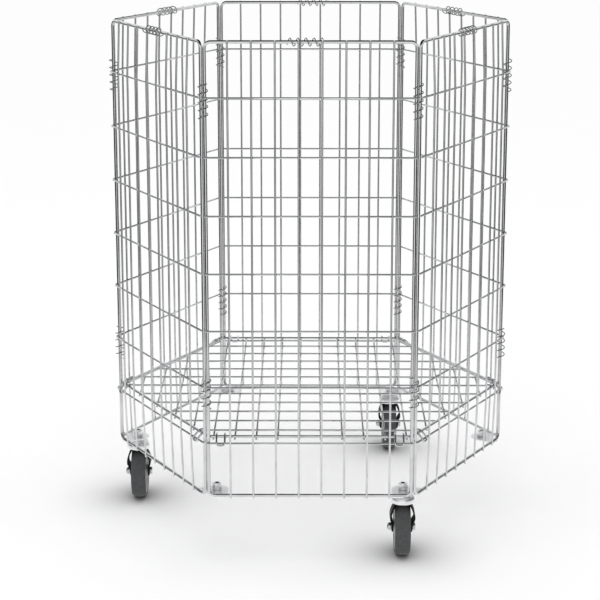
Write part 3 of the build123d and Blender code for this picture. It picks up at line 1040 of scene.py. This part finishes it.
def legOutline(look):  # a solid as wide as the fork whose side view is the legs' outline
    width, acrossFork = look["bulge"] + look["cutSide"], (0, math.pi / 2, 0)
    legEnd = cylinder("legEnd", 72, look["legEnd"], width, (0, axle.y, axle.z), acrossFork)
    legRoot = cylinder("legRoot", 72, look["legRoot"], width, (0, 0, look["rootHeight"]), acrossFork)
    legs = hullOf(joined("legOutline", [legEnd, legRoot]))
    rise = look["forkTop"] - look["rootHeight"] + look["cutTop"]
    deselectAll()
    bpy.ops.mesh.primitive_cube_add(size=1, location=(0, 0, look["rootHeight"] + rise / 2))
    pad = named("topPad")
    pad.scale = (width, look["pad"], rise)
    return cutWith(legs, settle(pad), "UNION")


def fork(look):
    piece = cutWith(forkArch(look), legOutline(look), "INTERSECT")
    axleHole = cylinder("axleHole", 36, look["hole"] / 2, 2 * look["bulge"], axle, (0, math.pi / 2, 0))
    cutWith(piece, axleHole, "DIFFERENCE")
    stemHole = cylinder("stemHole", 36, look["hole"] / 2, 2 * look["cutSide"], (0, 0, look["forkTop"]))
    cutWith(piece, stemHole, "DIFFERENCE")
    return smoothed(softenEdges(piece, look["forkSoft"], 45), 35)


def castorHead(look):
    skirt, crown, neck, bore = look["head"] / 2, look["headCrown"] / 2, look["headNeck"] / 2, look["hole"] / 2
    roof = look["forkTop"] + look["ring"] + look["gap"]
    points = [
        (bore, roof),
        (skirt - look["headWall"], roof),
        (skirt - look["headWall"], look["headSkirt"]),
        (skirt, look["headSkirt"]),
        (skirt, look["headShoulder"]),
        (crown, look["headTop"]),
        (neck, look["headTop"]),
        (neck, plateBottom),
        (bore, plateBottom),
    ]
    return turned("castorHead", [(x, 0, z) for x, z in points], 72, look["headSoft"], 3)


def onAxle(piece, start):  # lays a piece made on the Z axis along the axle, towards -X
    piece.matrix_world = Matrix.Translation((start, axle.y, axle.z)) @ Matrix.Rotation(-math.pi / 2, 4, "Y")
    return settle(piece)


def axleBolt(look):
    end = 2 * legOutside + look["lockNut"] + look["axleEnd"]
    return onAxle(hexBolt(look, 0, end, axleShadedZinc), legOutside)


def axleNut(look):  # a hexagon with a sloping collar
    body, top = look["lockNut"] * look["lockBody"], look["lockNut"]
    nut = hexBlank("axleNut", look, look["boltFlats"], 0, body)
    softenEdges(nut, look["boltSoft"], look["softAngle"])
    wide, bore = look["boltFlats"] / 2 * look["collarWidth"], look["thread"] / 2
    outline = [(bore, 0, body - over), (wide, 0, body - over), (wide, 0, top - look["collarDrop"])]
    outline += [(wide - look["collarSlope"], 0, top), (bore, 0, top)]
    collar = turned("nutCollar", outline, 48, look["collarSoft"])
    return onAxle(joined("axleNut", [smoothed(nut, 30), collar]), -legOutside)


castorPieces = {  # node: pattern, name, body, slot, material
    "fork": (fork(castorLook), "arch", "fork", "black_sheet", blackSheet),
    "tyre": (tyre(castorLook), "tread_ring", "wheel", "tread", treadRubber),
    "wheel": (wheelCentre(castorLook), "wheel_centre", "wheel", "grey_plastic", greyPlastic),
    "axle_bolt": (axleBolt(fastenerLook), "axle_screw", "fork", "zinc_fastener", axleShadedZinc),
    "axle_nut": (axleNut(fastenerLook), "lock_nut", "fork", "zinc_fastener", axleShadedZinc),
}
headPattern = castorHead(castorLook)
heads = []
for corner in castorCorners:
    angle = math.radians(cornerTurns[corner])
    place = Matrix.Translation((stemReach * math.cos(angle), stemReach * math.sin(angle), 0))
    heads.append(copied(headPattern, f"head_{corner}", place))
    for node, (pattern, name, body, slot, material) in castorPieces.items():
        piece = copied(pattern, f"{corner}_{name}", place)
        dress(piece, f"{body}_{corner}", material, f"castor_{corner}_{node}")
    coat(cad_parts[f"castor_{corner}_bush"], zincSheet)
    coat(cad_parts[f"castor_{corner}_thrust_ring"], slidePlastic)
dress(joined("castor_caps", heads), "cage", zincSheet, "castor_heads")
# the stems get the near-black thread material too: painted shade where their ends show down the nuts' bores
coat(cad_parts["castor_stems"], threadPaintedShade)
discard(headPattern, *[row[0] for row in castorPieces.values()])
print("castors made")

# stage: a pale floor that keeps the shadows and has a contact shadow painted into its colour, a white studio,
# and dark cards that only reflections see
stageLook = {
    "floorSize": 60,
    "floorWhite": 0.98,
    "shadowReach": 0.16,  # how near a piece has to be to darken the floor's colour: a painted contact shadow on top of the real one
    "shadowStops": ((0, 0.12), (0.45, 0.41), (0.75, 0.72), (0.93, 0.93)),  # openness, grey
    "cardReach": 1.5,
    "cardLow": -0.15,
    "cardHigh": 1.05,
    "cardStops": ((0, 0.9), (0.2, 0.03), (0.5, 0.03), (0.75, 0.15), (1, 0.6)),  # part of its height, grey
    "cardOpening": 46,  # degrees left open towards the front
    "cardBackOpening": 104,
    "ceilingHeight": 2.2,
    "ceilingReach": 2.2,
    "ceilingBack": -0.2,
    "ceilingGrey": 0.01,
}


def floorMaterial(look):
    material, nodes, links = nodeMaterial("paleFloor")
    nodes.remove(nodes["Principled BSDF"])
    surface = nodes.new("ShaderNodeBsdfDiffuse")
    # the floor's colour darkens where pieces stand near, read from ambient occlusion: a contact shadow
    # painted in over the real one
    nearness = nodes.new("ShaderNodeAmbientOcclusion")
    nearness.inputs["Distance"].default_value = look["shadowReach"]
    stops = [(part, grey(level)) for part, level in look["shadowStops"]] + [(1, grey(look["floorWhite"]))]
    shade = rampNode(nodes, links, nearness.outputs["AO"], stops)
    links.new(shade.outputs["Color"], surface.inputs["Color"])
    links.new(surface.outputs["BSDF"], nodes["Material Output"].inputs["Surface"])
    return material


def glowMaterial(name, level=0):  # a surface that only glows
    material, nodes, links = nodeMaterial(name)
    nodes.remove(nodes["Principled BSDF"])
    glow = nodes.new("ShaderNodeEmission")
    glow.inputs["Color"].default_value = grey(level)
    links.new(glow.outputs["Emission"], nodes["Material Output"].inputs["Surface"])
    return material


def cardMaterial(look):  # its grey changes with the height
    material = glowMaterial("darkCard")
    nodes, links = material.node_tree.nodes, material.node_tree.links
    place, split = nodes.new("ShaderNodeTexCoord"), nodes.new("ShaderNodeSeparateXYZ")
    links.new(place.outputs["Object"], split.inputs["Vector"])
    climb = rangeNode(nodes, links, split.outputs["Z"], look["cardLow"], look["cardHigh"], 0, 1)
    stops = [(part, grey(level)) for part, level in look["cardStops"]]
    shade = rampNode(nodes, links, climb.outputs["Result"], stops)
    links.new(shade.outputs["Color"], nodes["Emission"].inputs["Color"])
    return material


def onlyReflected(piece):
    piece.visible_camera = False
    piece.visible_diffuse = False
    piece.visible_shadow = False
    piece.visible_transmission = False
    piece.visible_volume_scatter = False


def makeStage(look):
    deselectAll()
    bpy.ops.mesh.primitive_plane_add(size=look["floorSize"])
    floor = named("floor")
    coat(floor, floorMaterial(look))
    floor.visible_glossy = False  # reflections see the white studio instead
    card = circle("darkCard", 72, look["cardReach"], (0, 0, look["cardLow"]))
    front = math.radians(look["cardOpening"] / 2)
    back = math.radians(180 - look["cardBackOpening"] / 2)
    editVertices(card, lambda co: not front < abs(math.atan2(co.x, -co.y)) < back)
    bpy.ops.mesh.delete(type="VERT")
    extruded(card, (0, 0, look["cardHigh"] - look["cardLow"]))
    coat(card, cardMaterial(look))
    onlyReflected(card)
    above = (0, look["ceilingBack"], look["ceilingHeight"])
    ceiling = circle("darkCeiling", 48, look["ceilingReach"], above, fill="NGON")
    coat(ceiling, glowMaterial("darkCeiling", look["ceilingGrey"]))
    onlyReflected(ceiling)
    world = bpy.data.worlds.new("studio")
    bpy.context.scene.world = world
    world.use_nodes = True  # a white that lights evenly and stands behind the object
    studio = world.node_tree.nodes["Background"]
    studio.inputs["Color"].default_value = grey(1)
    studio.inputs["Strength"].default_value = 1


makeStage(stageLook)

lampLook = {
    "power": 8,
    "size": 2.4,
    "place": (-0.5, -1.4, 2.6),
    "aim": (0, 0, 0.4),
}
beam = Vector(lampLook["aim"]) - Vector(lampLook["place"])
deselectAll()
bpy.ops.object.light_add(type="AREA", location=lampLook["place"])
lamp = bpy.context.object
lamp.data.energy = lampLook["power"]
lamp.data.size = lampLook["size"]
lamp.rotation_euler = beam.to_track_quat("-Z", "Y").to_euler()
lamp.visible_glossy = False  # the zinc mirrors the studio and not the lamp
print("stage set")

cameraLook = {
    "place": (-0.00258, -3.37356, 1.29747),
    "pitch": 13.1755,  # degrees down
    "turn": 0.2765,
    "lens": 112.316,
    "shiftUp": -0.1,
    "farEnd": 200,
}
deselectAll()
bpy.ops.object.camera_add(
    location=cameraLook["place"],
    rotation=(math.radians(90 - cameraLook["pitch"]), 0, math.radians(cameraLook["turn"])),
)
camera = bpy.context.object
camera.data.lens = cameraLook["lens"]
camera.data.shift_y = cameraLook["shiftUp"]
camera.data.clip_end = cameraLook["farEnd"]
bpy.context.scene.camera = camera
bpy.context.scene.view_settings.view_transform = "Standard"
